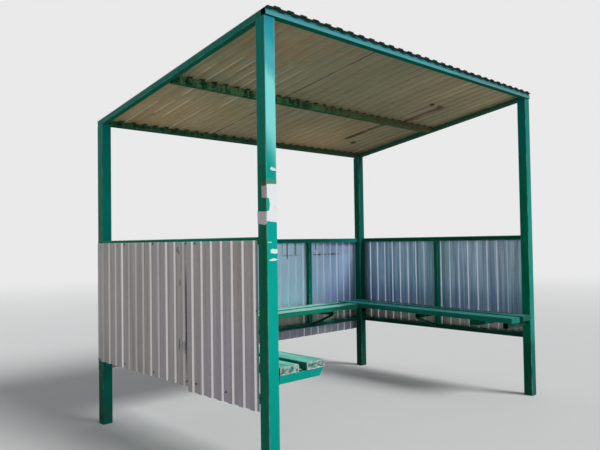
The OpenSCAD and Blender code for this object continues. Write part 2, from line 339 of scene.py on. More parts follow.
def stained_paint(s, seed, along):
    """Old paint under the roof, blotched where water ran down it and browner to the right."""
    drips = s.noise(drawn(along, 6, 34), seed + 3, 4, 0.62)
    blots = s.plus(s.times(drips, 0.65), s.times(s.noise(46, seed + 5, 4, 0.65), 0.35))
    old = s.mix(s.step(blots, 0.42, 0.57), STAIN_DEEP, STAIN_PALE)
    return s.mix(s.step(s.x, -0.7, 0.8, 0, 0.85), old, STAIN_BROWN)


def paint(name, seed, along=2, box=None, tilt=0, bleach_and_glare=0, stained=0, shade_and_grime=0, painted_shade=0, notices=False):
    """Hand-brushed gloss paint, rubbed and chipped along the edges, with painted light: faces towards the
    sun lighter and bluer, a painted sky reflection high up, painted shade on faces that look down, and,
    where asked, more painted shade and bleaching with a painted sky glare.
    """
    s = Shade(name, tilt)
    strokes = s.noise(drawn(along, 30, 1.8), seed, 4, 0.6)
    hairs = s.noise(drawn(along, 240, 9), seed, 2, 0.5)
    cloud = s.noise(3.1, seed, 3, 0.6)
    grit = s.noise(95, seed, 4, 0.6)
    sunny, top, below = s.faces(1, -0.2, -0.9), s.faces(2, 0.5, 0.95), s.faces(2, -0.5, -0.9)
    layers = [
        # painted light: faces towards the sun get a lighter, bluer tone
        (PAINT_SUNLIT, sunny, s.step(cloud, 0.25, 0.7, 0.7, 1)),
        (PAINT_FRESH, s.step(hairs, 0.55, 0.8, 0, 0.22)),
        # painted sky reflection: bluer on the roof rails and higher up on the posts
        (SKY_REFLECTION, 0.55 if tilt else s.step(s.z, 1.5, 2.5, 0, 0.7)),
    ]
    # painted shade on the faces towards the sun and low down, for posts that stand in shade
    if painted_shade:
        low = s.step(s.plus(s.z, s.times(cloud, 0.2)), 0.72, 0.52)
        layers += [(DARK_GREEN, sunny, painted_shade), (DARK_GREEN, low, 0.6)]
    # bleached paint with a painted sky glare on the faces towards the sun
    if bleach_and_glare:
        layers.append((weathered(s, seed, along, box, cloud), sunny, bleach_and_glare))
    if stained:
        layers.append((stained_paint(s, seed, along), stained))
    # painted shade, with some grime, darkening the whole part
    if shade_and_grime:
        layers.append((DARK_OLIVE if stained else DARK_GREEN, s.step(cloud, 0.3, 0.7, 0.9 * shade_and_grime, shade_and_grime)))
    if notices:
        layers += front_post_layers(s)
    layers += [
        (DUST, top, s.step(cloud, 0.3, 0.7, 0.1, 0.36), 1 - 0.7 * shade_and_grime),
        # painted shade on the faces that look down
        (UNDERSIDE_SHADE, below, 0.55),
    ]
    bare = s.times(s.step(grit, 0.73, 0.76), s.step(cloud, 0.45, 0.6))
    if box is not None:
        near = face_distances(s, box, along)
        edge = s.any(*near)
        worn = s.noise(drawn(along, 26, 7), seed + 2, 4, 0.7)
        rim = s.times(s.step(edge, 0.0075, 0.001), s.less(1, below), 1 - 0.8 * stained)
        chips = s.times(s.step(edge, 0.005, 0.001), s.step(worn, 0.66, 0.72), s.step(grit, 0.52, 0.6))
        layers += [
            (HOLLOW, s.step(s.math("MINIMUM", *near), 0.001, 0.0016)),
            (PAINT_PALE, rim, s.step(worn, 0.4, 0.62, 0.08, 0.62)),
        ]
        bare = s.any(bare, chips)
    ground = s.times(s.step(s.z, 0.26, 0), s.step(s.noise(22, seed, 5, 0.7), 0.36, 0.64))
    halo = s.times(s.step(grit, 0.69, 0.72), s.step(cloud, 0.45, 0.6))
    layers += [(SPLASH, ground, 0.5), (RUST_HALO, halo, 0.5), (RUST, bare)]
    colour = s.coats(s.mix(s.step(strokes, 0.34, 0.66), PAINT_DEEP, PAINT_MID), layers)
    rough = s.step(s.noise(8, seed, 3, 0.6), 0.3, 0.7, 0.24, 0.42)
    for dull, share in ((bare, 0.85), (ground, 0.75), (top, 0.5), (below, 0.9)):
        rough = s.any(rough, s.times(dull, share))
    height = s.plus(s.times(strokes, 0.6), s.times(hairs, 0.25))
    normal = s.bump(s.less(s.times(grit, 0.25), bare), 0.0004, s.bump(height, 0.0008))
    s.set(Base_Color=colour, Roughness=rough, Normal=normal, Specular_IOR_Level=0.06)
    return s.material


# Zinc sheets

ZINC_OUT = rgb(154, 149, 148), rgb(181, 174, 172)
# The inside tones are the zinc with a painted sky reflection, the fold tones are painted highlights, and
# the tone under the bench is painted shade and ground reflection.
ZINC_IN = rgb(130, 160, 190), rgb(206, 230, 250)
ZINC_BACK = rgb(152, 184, 228), rgb(198, 224, 255)
FOLD_HIGHLIGHT_OUT, FOLD_HIGHLIGHT_IN = rgb(238, 233, 233), rgb(230, 240, 255)
UNDER_BENCH = rgb(178, 168, 150)
# For each wall: the axis and the way it faces, its two tones inside with a painted sky reflection, its
# share of painted blue reflection low down, and its tone under the bench, painted shade and ground
# reflection
WALLS = {
    "left": (0, -1, ZINC_IN, 0.55, UNDER_BENCH),
    "right": (0, 1, ZINC_IN, 0.40, UNDER_BENCH),
    "back": (1, 1, ZINC_BACK, 0.55, rgb(140, 144, 112)),
}
# How much weaker the painted highlights on the left wall's folds are, from its fourth on
FIRST_FOLD, FOLD_REACH = 0.210, 0.045
DULL_FOLDS = 0.1, 0.1, 0.6, 0.2, 0.1, 0.55, 0.25, 0.5, 0.55, 0.6, 0, 0.5, 0.4, 0.75
LAP_BEHIND = 0.024
SMUDGE_AND_SHADOW, OVERSPRAY, TOP_STRIP = rgb(46, 44, 62), rgb(0, 120, 96), rgb(120, 190, 186)


def zinc(s, seed, colour, folds, fold_highlight, shine):
    """Spangle and painted highlights on the folds over a sheet's colour, and its gloss and bump."""
    flake = s.add("ShaderNodeTexVoronoi", {"Vector": s.point, "Scale": 90}).outputs["Color"]
    flake = s.add("ShaderNodeSeparateColor", {0: flake}).outputs[0]
    spangle = rgb(214, 218, 222), s.step(flake, 0, 1, 0, 0.1)
    colour = s.coats(colour, [spangle, (fold_highlight, folds)])
    streak = s.noise(drawn(2, 40, 1), seed, 4, 0.6)
    rough = s.plus(s.step(s.noise(2.4, seed, 4, 0.6), 0.3, 0.7, 0.36, 0.48), s.times(flake, 0.08))
    normal = s.bump(s.plus(streak, s.times(flake, 0.15)), 0.0006)
    s.set(Base_Color=colour, Roughness=rough, Normal=normal, Metallic=s.step(folds, 0, 1, shine, 0.85))


def wall_sheet(name, seed, wall):
    """Zinc wall sheet: dull outside, bluer inside from a painted sky reflection, with painted highlights
    on its folds, painted light, shade and reflections inside and a painted shadow along the left wall's
    lap, and green brushed over its edges.
    """
    s = Shade(name)
    out_axis, out_sign, inner, bluish, under_bench = WALLS[wall]
    normal = s.axis(out_axis, s.add("ShaderNodeNewGeometry").outputs["True Normal"])
    facing = s.times(normal, out_sign)
    outside = s.step(facing, -0.05, 0.05)
    inside = s.less(1, outside)
    streak = s.noise((34, 34, 0.9), seed, 4, 0.6)
    fine = s.noise((120, 120, 1.4), seed, 3, 0.6)
    band = s.noise((7, 7, 0.35), seed, 3, 0.55)
    cloud = s.noise(2.4, seed, 4, 0.6)
    rag = s.uneven((60, 60, 22), seed + 1, 4, 0.7)
    tone = s.plus(s.times(streak, 0.6), s.times(fine, 0.4))
    run = (s.y, s.x)[out_axis]
    outer_tone = s.coats(s.mix(s.step(tone, 0.35, 0.65), *ZINC_OUT), [
        (rgb(164, 162, 178), s.step(band, 0.45, 0.7), 0.45),
        (rgb(170, 162, 196), s.step(s.z, 1.1, 0.7), s.step(run, FRONT + 0.9, FRONT + 0.3), 0.35),
    ])
    low = s.step(s.z, 1.02, 0.74)
    layers = [(rgb(176, 172, 196), s.step(band, 0.5, 0.7), 0.4)]
    if wall == "back":
        across = s.less(s.x, LEFT)
        # painted skylight on the left part of the back wall's inside, cyan low down there
        painted_skylight = s.step(across, 2.6, 2.15)
        low = s.times(low, s.step(across, 2.2, 2.5, 0.2, 1))
        layers += [
            (rgb(206, 236, 255), painted_skylight, 0.85),
            (rgb(160, 234, 250), painted_skylight, s.step(s.z, 1.05, 0.78), 0.55),
            (rgb(140, 138, 186), s.step(s.z, 1.16, 1.26), s.step(fine, 0.35, 0.65, 0.1, 0.45)),
        ]
    # painted blue reflection low down inside, just above the bench
    layers.append((rgb(104, 126, 196), low, s.step(s.z, 0.64, 0.7), bluish))
    if wall == "right":
        teal = s.near(s.y, FRONT + SIDE_STUD, 0.3, 0.05)
        layers.append((rgb(120, 176, 176), teal, s.step(cloud, 0.35, 0.6), 0.4))
    # painted shade and ground reflection inside, under the bench
    layers.append((under_bench, s.step(s.z, 0.72, 0.66), 0.85))
    if wall == "back":
        # painted shade on the back wall below its lower rail
        layers.append((rgb(150, 146, 176), s.step(s.z, LOWER_TOP - 0.02, LOWER_TOP - 0.05), 0.7))
    inner_tone = s.coats(s.mix(s.step(tone, 0.38, 0.62), *inner), layers)

    stain, shine = s.times(s.step(cloud, 0.55, 0.75), 0.3), 0.5
    fade = s.step(s.noise((9, 9, 0.5), seed + 6, 3, 0.6), 0.32, 0.58, 0.25, 0.95)
    marks = []
    if wall == "back":
        # the painted skylight also clears the stains there, adds shine and goes on again over the marks
        painted_skylight = s.times(painted_skylight, inside, s.step(s.z, 0.66, 0.72))
        stain = s.times(stain, s.less(1, painted_skylight))
        shine = s.step(painted_skylight, 0, 1, 0.5, 0.95)
        fade = s.times(fade, s.step(across, 2.05, 2.2, 0.3, 0.9))
        marks = [(rgb(206, 238, 255), painted_skylight, 0.85)] + back_marks(s, rag, inside)
    if wall == "left":
        fade = 1
        for n, dull in enumerate(DULL_FOLDS, 4):
            middle = FRONT + FIRST_FOLD + PITCH * n
            here = s.between(s.y, middle - FOLD_REACH, middle + FOLD_REACH, 0.004)
            fade = s.less(fade, s.times(here, dull))
        marks = left_marks(s, rag)
    strip = s.step(s.plus(s.z, s.times(rag, 0.006)), SHEET_TOP - 0.01, SHEET_TOP - 0.006)
    layers = [
        (rgb(104, 104, 112), s.step(band, 0.3, 0.55, 0.2, 0)),
        (rgb(150, 140, 128), stain),
        *marks,
        (TOP_STRIP, strip, 0.75),
    ]
    # painted highlights on the flanks of the folds, weaker where fade is low
    fold = s.times(s.step(facing, 0.88, 0.72), s.step(facing, -0.88, -0.72), fade)
    if wall != "back":
        brushed = s.times(brushed_edges(s, wall, rag), outside)
        layers.append((OVERSPRAY, brushed, 0.85))
        fold = s.times(fold, s.less(1, brushed))
    colour = s.coats(s.mix(outside, inner_tone, outer_tone), layers)
    zinc(s, seed, colour, fold, s.mix(outside, FOLD_HIGHLIGHT_IN, FOLD_HIGHLIGHT_OUT), shine)
    return s.material


def brushed_edges(s, wall, rag):
    """Green brushed over a side sheet's edge by the front post and its foot by the back post."""
    edge = s.plus(s.less(s.y, FRONT + POST), s.times(rag, 0.018))
    wider = s.times(s.between(s.z, 0.6, 1.1, 0.3), s.step(edge, 0.02, 0.014))
    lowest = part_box(wall + "_wall_back_sheet")[0][2]
    foot = s.step(s.plus(s.z, s.times(rag, 0.02)), lowest + 0.024, lowest + 0.016)
    foot = s.times(s.step(s.y, BACK - POST, BACK - POST + 0.01), foot)
    return s.any(s.step(edge, 0.013, 0.009), wider, foot)


def left_marks(s, rag):
    """The left wall's painted shadow along the lap, and the smudges beside it, outside."""
    run = s.less(s.y, FRONT)
    # painted shadow of the covering sheet's edge along the lap
    lap = s.near(run, SIDE_SEAM + LAP_BEHIND, 0.01, 0.005)
    lap = s.times(lap, s.step(s.z, 0.5, 0.8), s.step(s.z, 1.26, 1.02), 0.97)
    marks = [(SMUDGE_AND_SHADOW, lap)] * 2
    for at, size, depth in (
        ((0.871, 1.316), (0.014, 0.020), 0.55),
        ((0.848, 1.300), (0.010, 0.012), 0.50),
        ((0.834, 1.109), (0.009, 0.024), 0.55),
        ((0.852, 0.719), (0.014, 0.040), 0.75),
        ((0.800, 0.715), (0.012, 0.036), 0.85),
        ((0.085, 0.985), (0.022, 0.006), 0.80),
        ((0.080, 0.872), (0.012, 0.006), 0.70),
    ):
        marks.append((SMUDGE_AND_SHADOW, s.oval(run, s.z, at, size, s.times(rag, 2.2)), depth))
    return marks


def back_marks(s, rag, inside):
    """Drips and a row of smudges on the back wall, inside."""
    run = s.less(s.x, LEFT)
    marks = []
    drips = (1.973, 1.170, 0.85), (2.082, 1.195, 0.85), (1.900, 1.215, 0.3), (2.375, 1.250, 0.85)
    for at, low, depth in drips:
        marks.append((SMUDGE_AND_SHADOW, s.near(run, at, 0.012, 0.005), s.step(s.z, low, low + 0.04), inside, depth))
    for at, depth in (
        (1.93, 0.35), (2.02, 0.25), (2.11, 0.2), (2.36, 0.6),
        (2.41, 0.8), (2.50, 0.5), (2.60, 0.85), (2.69, 0.5),
    ):
        spot = s.oval(run, s.z, (at, 1.222), (0.04, 0.009), s.times(rag, 2))
        marks.append((SMUDGE_AND_SHADOW, spot, inside, depth))
    return marks


# Roof sheets

UNDERSIDE = rgb(158, 144, 108), rgb(180, 165, 128)
SEAM, RUN_OFF, RUST_SPOT = rgb(54, 38, 14), rgb(118, 62, 22), rgb(46, 22, 8)
LIP = rgb(28, 62, 60), rgb(84, 90, 82)
WEATHER = rgb(140, 139, 136), rgb(170, 169, 166)
# How far down the slope the purlin and the back rail start
RAIL_STARTS = ROOF_LEN / 2 - RAIL / 2, ROOF_LEN - POST / 2 - RAIL / 2


def roof_sheet(name, seed):
    """Zinc roof sheet: stained beige and brown beneath, with painted light and shadows there, weathered
    with leaf stains on top.
    """
    s = Shade(name, SLOPE)
    streak = s.noise((70, 1.1, 1), seed, 4, 0.65)
    cloud = s.noise((2.2, 1.4, 1), seed, 5, 0.62)
    blot = s.noise((30, 22, 1), seed, 5, 0.7)
    above = s.faces(2, -0.05, 0.05)
    weather = s.coats(s.mix(s.step(streak, 0.3, 0.7), *WEATHER), [
        (rgb(116, 108, 92), s.step(cloud, 0.4, 0.65), 0.6),
        (rgb(84, 72, 56), s.step(blot, 0.56, 0.68), 0.5),
    ])
    colour = s.mix(above, roof_underside(s, seed, streak, cloud, blot, above), weather)
    normal = s.bump(s.plus(streak, s.times(blot, 0.4)), 0.0008)
    s.set(Base_Color=colour, Roughness=s.step(cloud, 0.3, 0.7, 0.5, 0.72), Normal=normal, Metallic=0.1)
    return s.material


def roof_underside(s, seed, streak, cloud, blot, above):
    """The roof's stained underside, by metres from the left and down the slope, with painted light in its
    rib recesses, on its right-facing flanks and near the front, painted glints on its folds, and painted
    shadows in the ribs over the purlin and the back rail.
    """
    run = s.less(s.x, LEFT)
    down = s.less(s.y, FRONT * math.cos(SLOPE) - FRONT_H * math.sin(SLOPE))
    fine = s.noise((260, 2.4, 1), seed, 2, 0.6)
    band = s.noise((6, 0.5, 1), seed, 4, 0.6)
    speck = s.noise((26, 14, 1), seed + 6, 4, 0.65)
    ochre = s.step(s.noise((9, 7, 1), seed + 8, 4, 0.6), 0.48, 0.62)
    brown = s.any(s.step(run, 1.6, 0.3), s.between(run, 1.6, 2.5, 0.25))
    duller = s.plus(
        s.times(s.step(run, 0.9, 1.3), s.step(down, 0.45, 0.75), 0.16),
        s.times(s.between(run, 1.1, 2.5, 0.2), s.between(down, 1.05, 1.45, 0.12), 0.14),
    )
    turns = s.math("DIVIDE", s.less(run, ROOF_CREST - PITCH / 2), PITCH)
    rib = s.math("ABSOLUTE", s.less(s.math("FRACT", turns), 0.5))
    crest, lit_recess = s.step(rib, 0.27, 0.23), s.step(rib, 0.31, 0.25)
    fold = s.times(s.step(rib, 0.215, 0.25), s.step(rib, 0.32, 0.285))
    streaky = s.step(s.noise((14, 1.5, 1), seed + 4, 3, 0.6), 0.42, 0.56)
    glint = s.times(fold, s.step(run, 1.3, 0.5, 0.15, 1), s.step(down, 0.4, 0.7), streaky)
    # painted shadows in the rib channels just over the purlin and the back rail
    dark = s.any(*(s.times(
        crest, s.step(down, at - 0.016, at), s.step(down, at + 0.06, at + 0.04)
    ) for at in RAIL_STARTS))
    grime = s.any(s.step(run, 0.1, 0.045), s.step(run, 2.96, 3.01), s.step(down, 0.07, 0.03))
    lit_right_flank = s.times(s.faces(0, 0.2, 0.5), s.less(1, above))
    zones = [
        (rgb(144, 141, 110), s.step(cloud, 0.4, 0.66), 0.75),
        (rgb(146, 144, 118), s.step(down, 1.2, 0.6), s.between(run, 0.5, 2, 0.3), 0.55),
        (rgb(216, 178, 124), s.step(down, 0.9, 1.7), brown, 0.75),
        (rgb(108, 96, 58), s.step(run, 2.4, 2.9), s.step(down, 0.8, 1.4), 0.75),
        (rgb(70, 66, 40), duller),
        (rgb(174, 136, 78), ochre, s.step(run, 1.1, 0.5), s.step(down, 1.1, 0.7), 0.5),
        # painted light on the underside near the front, right of middle
        (rgb(196, 184, 146), s.step(run, 1.6, 2.3), s.step(down, 0.55, 0.25), 0.3),
        (rgb(128, 132, 122), s.step(speck, 0.54, 0.66), 0.4),
        (rgb(190, 160, 100), s.step(speck, 0.44, 0.34), 0.4),
        (rgb(150, 120, 84), s.step(band, 0.52, 0.68), 0.35),
        # painted light in the rib recesses, to soften their shade
        (rgb(222, 206, 168), lit_recess, s.step(down, 0.2, 0.9, 0.14, 0.28)),
        # painted glints on the folds
        (rgb(255, 246, 222), glint, s.step(down, 0.9, 1.2, 0.5, 0.7)),
        # painted shadows in the ribs over the purlin and the back rail
        (rgb(28, 48, 24), dark, 0.8),
        (rgb(84, 84, 54), grime, s.step(blot, 0.3, 0.6), 0.6),
    ]
    edges = [
        (s.mix(s.step(blot, 0.45, 0.6), *LIP), s.step(down, 0.002, -0.004), 0.9),
        # painted light on the flanks that face right, to soften their shade
        (rgb(236, 222, 190), lit_right_flank, s.step(down, 0, 0.6, 0.15, 0.4)),
    ]
    plain = s.mix(s.step(s.plus(s.times(streak, 0.6), s.times(fine, 0.4)), 0.36, 0.64), *UNDERSIDE)
    return s.coats(plain, zones + roof_marks(s, run, down) + edges)


def roof_marks(s, run, down):
    """Dark laps, rusty runs and spots on the roof's underside."""
    wandering = s.plus(run, s.times(s.uneven((1, 2.2, 1), 31, 2, 0.5), 0.012))
    broken = s.step(s.noise((20, 3, 1), 37, 3, 0.6), 0.36, 0.52, 0.45, 1)
    marks = []
    for at, start, end, width, depth, tone in (
        (1.038, 0.05, 2.00, 0.010, 1.00, SEAM),
        (1.855, 0.10, 0.95, 0.008, 0.75, SEAM),
        (2.392, 0.10, 0.62, 0.006, 0.70, SEAM),
        (2.560, 0.56, 0.99, 0.060, 0.90, RUN_OFF),
        (2.535, 0.56, 0.99, 0.026, 0.95, SEAM),
        (2.410, 0.60, 0.99, 0.022, 0.45, RUN_OFF),
        (2.440, 1.10, 1.60, 0.050, 0.85, RUN_OFF),
        (2.412, 1.08, 1.62, 0.024, 0.90, SEAM),
        (2.560, 1.14, 1.45, 0.008, 0.50, RUN_OFF),
        (0.420, 0.30, 0.80, 0.012, 0.35, RUN_OFF),
    ):
        line = s.near(wandering, at, width, width * 0.4)
        marks.append((tone, line, s.between(down, start, end, 0.04), broken, depth))
    rag = s.times(s.uneven(60, 41, 3, 0.7), 2.4)
    for at, size in (
        ((2.402, 0.570), (0.028, 0.018)),
        ((2.528, 0.572), (0.034, 0.022)),
        ((2.425, 1.135), (0.040, 0.018)),
        ((2.597, 1.680), (0.030, 0.034)),
    ):
        marks.append((RUST_SPOT, s.oval(run, down, at, size, rag), 0.9))
    return marks


# Wood and paper

WOOD_PAINT = rgb(0, 116, 90), rgb(0, 146, 118)
WOOD_RAW = rgb(158, 164, 146), rgb(208, 220, 208)
END_PAINT, END_WORN = (rgb(0, 100, 88), rgb(44, 142, 128)), (rgb(104, 124, 120), rgb(206, 220, 218))
STREAK_PALE, STREAK_WHITE, STREAK_DEEP = rgb(150, 234, 216), rgb(200, 255, 246), rgb(0, 132, 102)


def wood(name, seed, along, wear, box):
    """Painted softwood: brushed green, worn pale on top and bare at its edges and ends, with painted shade
    beneath, on the right bench and over the back bench's right end.
    """
    s = Shade(name)
    grain = s.noise(drawn(along, 110, 2.2), seed, 4, 0.6, 0.4)
    fibre = s.noise(drawn(along, 420, 7), seed, 2, 0.5)
    broad = s.noise(drawn(along, 16, 1.2), seed, 4, 0.62)
    cloud = s.noise(2.6, seed, 4, 0.6)
    rings = s.noise((150, 150, 230), seed, 4, 0.7, 0.8)
    edge, cap = (s.add("ShaderNodeAttribute", attribute_name=n).outputs["Fac"] for n in ("edge", "cap"))
    up, below = s.faces(2, 0.4, 0.9), s.faces(2, -0.5, -0.9)
    streaks = s.plus(s.times(grain, 0.6), s.times(broad, 0.4))
    # painted shade on the tops of the less worn planks, mostly the right bench's
    layers = [(rgb(0, 92, 106), up, 1 - wear, 0.8)]
    pale, streaky = STREAK_PALE, (0.45, 0.57)
    if along == 0:
        pale, streaky = STREAK_WHITE, (0.42, 0.54)
        across = s.less(s.x, LEFT)
        # painted shade over the back bench's right end: less pale wear, darker paint and darker front
        # faces
        far = s.step(across, 2.2, 2.42)
        wear = s.times(wear, s.step(far, 0, 1, 1, 0.2))
        layers += [
            (DARK_GREEN, far, 0.45),
            (DARK_GREEN, s.faces(1, -0.4, -0.9), s.step(across, 2.1, 2.3, 0.18, 0.62)),
        ]
    elif box[0][0] > 0:
        # painted shade on the right bench
        layers.append((rgb(0, 96, 96), 0.4))
    worn = s.plus(s.times(edge, s.plus(0.1, s.times(wear, 0.05))), s.times(up, wear, 0.03))
    worn = s.plus(worn, s.plus(s.times(broad, 0.55), s.times(grain, 0.28)))
    bare = s.step(worn, 0.6, 0.67)
    rim = s.step(s.math("MINIMUM", *face_distances(s, box, along)), 0.012, 0.002)
    used = s.step(wear, 0.3, 0.9)
    scraped = s.plus(s.noise((34, 34, 70), seed + 7, 4, 0.6, 0.5), s.times(rim, 0.16))
    scraped = s.times(s.step(scraped, 0.42, 0.62), used)
    scuffed = s.mix(s.step(rings, 0.34, 0.62), *END_WORN)
    end = s.mix(scraped, s.mix(s.step(rings, 0.4, 0.6), *END_PAINT), scuffed)
    core = s.step(s.noise(30, seed + 9, 4, 0.65), 0.46, 0.62)
    crack = s.times(s.step(grain, 0.3, 0.22), s.step(cloud, 0.4, 0.6))
    layers += [
        (rgb(84, 206, 184), up, s.step(cloud, 0.3, 0.7, 0.45, 1), wear),
        (pale, up, s.step(streaks, *streaky), wear, 0.9),
        (STREAK_DEEP, up, s.step(streaks, 0.42, 0.34), wear, 0.7),
        (rgb(96, 200, 174), s.step(grain, 0.6, 0.75, 0, 0.25)),
        (s.mix(s.step(fibre, 0.3, 0.7), *WOOD_RAW), bare, 0.7),
        (end, cap),
        (rgb(104, 96, 98), cap, core, s.less(1, rim), used, 0.65),
    ]
    if box[1][0] > RIGHT - INNER_PLANK:
        # painted shade on the plank ends nearest the right wall
        layers.append((rgb(34, 48, 40), cap, 0.6))
    # dark cracks, then painted shade on the faces that look down
    layers += [(rgb(16, 48, 38), crack, 0.8), (rgb(0, 84, 58), below, 0.5)]
    colour = s.coats(s.mix(s.step(broad, 0.3, 0.7), *WOOD_PAINT), layers)
    rough = s.any(s.step(broad, 0.3, 0.7, 0.34, 0.5), s.times(bare, 0.8), s.times(cap, 0.8))
    height = s.less(s.plus(s.times(grain, 0.7), s.times(fibre, 0.3)), s.times(bare, 0.35), crack)
    s.set(Base_Color=colour, Roughness=rough, Normal=s.bump(height, 0.0012), Specular_IOR_Level=0.15)
    return s.material


def paper(name, seed, colour):
    """Thin weathered paper, creased and faintly stained, with nothing printed on it."""
    s = Shade(name)
    crease = s.noise(60, seed, 4, 0.7, 0.6)
    stain = s.noise(14, seed, 4, 0.65)
    colour = s.coats(colour, [
        (rgb(196, 186, 176), s.step(stain, 0.52, 0.72), 0.4),
        (rgb(170, 170, 176), s.step(crease, 0.62, 0.7), 0.3),
    ])
    s.set(Base_Color=colour, Roughness=0.85, Normal=s.bump(crease, 0.0015), Specular_IOR_Level=0.2)
    return s.material


# Making pieces

def new_piece(name, mesh, material, smooth=False):
    piece = new_object(name, mesh)
    mesh.materials.append(material)
    if smooth:
        mesh.shade_smooth()
    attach(piece, "root")
    return piece


def outward(mesh):
    bm = bmesh.new()
    bm.from_mesh(mesh)
    bmesh.ops.recalc_face_normals(bm, faces=bm.faces)
    bm.to_mesh(mesh)
    bm.free()
    return mesh


def joined(name, solids):
    """One mesh of many small solids, each its points, its faces and where it stands."""
    verts, faces = [], []
    for points, sides, place in solids:
        base = len(verts)
        verts += [place @ Vector(p) for p in points]
        faces += [[base + i for i in side] for side in sides]
    return outward(new_mesh(name, verts, faces))


def ring_faces(rings, count):
    """Faces of a tube of rings, with both its ends closed."""
    faces = [list(range(count))[::-1], [(rings - 1) * count + j for j in range(count)]]
    for i in range(rings - 1):
        for j in range(count):
            k = (j + 1) % count
            faces.append([i * count + j, i * count + k, (i + 1) * count + k, (i + 1) * count + j])
    return faces


def turned(sides, *profile):
    """A solid turned about Z from radius and height pairs."""
    angles = [2 * math.pi * j / sides for j in range(sides)]
    verts = [(r * math.cos(a), r * math.sin(a), z) for r, z in profile for a in angles]
    return verts, ring_faces(len(profile), sides)


# Screws

SHEET_SCREW = (
    turned(20, (0.0070, 0), (0.0073, 0.0007), (0.0064, 0.0015), (0.0040, 0.0017)),
    turned(20, (0.0052, 0.0012), (0.0054, 0.0020), (0.0044, 0.0027)),
    turned(6, (0.0042, 0.0022), (0.0042, 0.0052), (0.0035, 0.0060)),
)
PLANK_SCREW = turned(
    18, (0.0046, -0.0010), (0.0046, 0.0001), (0.0036, 0.0005), (0.0014, 0.0005), (0.0010, 0.0001)
)
SCREW_ZINC, SCREW_RUST = rgb(96, 94, 96), rgb(72, 50, 38)
SCREW_LEAN, SCREW_STRAY, PLANK_STRAY = 0.05, 0.006, 0.004
# Heights of the screws over the top rail and the lower rails
TOP_SCREWS, LOW_SCREWS, RIGHT_LOW_SCREWS = SHEET_TOP - 0.011, LOWER_TOP - 0.027, LOWER_TOP - 0.018
# Where they are: metres from the front on the left wall, else ribs from its front or right end
LEFT_SCREWS, LEFT_LOW_SCREW = (0.678, 0.778, 1.178, 1.578), 0.378
RIGHT_SCREWS = 1, 5, 6, 10, 14, 18
BACK_SCREWS = 1, 5, 9, 12, 16, 20, 23, 27, 29
ROOF_SCREWS = range(0, 31, 3)
SCREW_OFF = 0.040


def facing_out(point, direction, spin):
    """Stands a solid that was made along Z on a face."""
    turn = Vector(direction).to_track_quat("Z", "Y").to_matrix().to_4x4()
    return Matrix.Translation(point) @ turn @ Matrix.Rotation(spin, 4, "Z")


def add_sheet_screws():
    """Screws with washers in the sheets' flats, over the rails."""
    rnd = random.Random(5)
    solids = []

    def screw(point, direction):
        lean = Vector(direction) + Vector([rnd.uniform(-SCREW_LEAN, SCREW_LEAN) for _ in range(3)])
        place = facing_out(point, lean, rnd.uniform(0, math.pi))
        solids.extend((*part, place) for part in SHEET_SCREW)

    for run in LEFT_SCREWS:
        for z in (TOP_SCREWS, LOW_SCREWS):
            screw((LEFT - SKIN, FRONT + run, z), (-1, 0, 0))
    screw((LEFT - SKIN, FRONT + LEFT_LOW_SCREW, LOW_SCREWS), (-1, 0, 0))
    for n in RIGHT_SCREWS:
        for z in (TOP_SCREWS, RIGHT_LOW_SCREWS):
            run = RIGHT_PHASE - FLAT / 2 + PITCH * n
            screw((RIGHT + SKIN, FRONT + run, z), (1, 0, 0))
    for n in BACK_SCREWS:
        for z in (TOP_SCREWS, LOW_SCREWS):
            run = BACK_PHASE - FLAT / 2 + PITCH * n
            screw((RIGHT - run, BACK + SKIN, z), (0, 1, 0))
    up = ROOF.to_3x3() @ Vector((0, 0, 1))
    for n in ROOF_SCREWS:
        for down in (0.010, ROOF_LEN / 2, ROOF_LEN - POST / 2):
            down += rnd.uniform(-SCREW_STRAY, SCREW_STRAY)
            screw(ROOF @ Vector((LEFT + ROOF_FLAT + PITCH * n + 0.002, down, RAIL + SKIN)), up)
    s = Shade("screw_zinc")
    rusty = s.step(s.noise(120.0, 3, 4, 0.65), 0.50, 0.60)
    colour, rough = s.mix(rusty, SCREW_ZINC, SCREW_RUST), s.step(rusty, 0, 1, 0.4, 0.85)
    s.set(Base_Color=colour, Roughness=rough, Metallic=0.5)
    new_piece("sheet_screws", joined("sheet_screws", solids), s.material)


def bench_tilt():
    """Sinks the front end of the right bench."""
    pivot = Vector((0, FRONT + BENCH_RUN, BENCH_TOP - PLANK_T))
    turn = Matrix.Rotation(math.atan(BENCH_DROP / BENCH_RUN), 4, "X")
    return Matrix.Translation(pivot) @ turn @ Matrix.Translation(-pivot)


def add_bench_screws():
    """Painted screws that hold the planks on their arms."""
    rnd = random.Random(9)
    solids = []

    def pair(a, b, top, across_x, turn=Matrix()):
        for off in (-SCREW_OFF, SCREW_OFF):
            at = [a + off, b, top] if across_x else [a, b + off, top]
            for n in (0, 1):
                at[n] += rnd.uniform(-PLANK_STRAY, PLANK_STRAY)
            solids.append((*PLANK_SCREW, turn @ Matrix.Translation(at)))

    left_top = BENCH_TOP - PLANK_T - SEAT
    for start in (OUTER_PLANK, INNER_PLANK):
        middle = start + PLANK_W / 2
        for y in (ARM / 2, SIDE_STUD):
            pair(LEFT + middle, FRONT + y, left_top, True)
        for y in (POST - ARM / 2, SIDE_STUD):
            pair(RIGHT - middle, FRONT + y, BENCH_TOP, True, bench_tilt())
        for x in (LEFT + BACK_STUD, RIGHT - BACK_STUD):
            pair(x, BACK - middle, BENCH_TOP, False)
    mesh = joined("bench_screws", solids)
    new_piece("bench_screws", mesh, paint("bench_screw_paint", 61))


# Welds

BEAD_R, BEAD_SIDES, BEAD_STEP = 0.0024, 7, 0.003


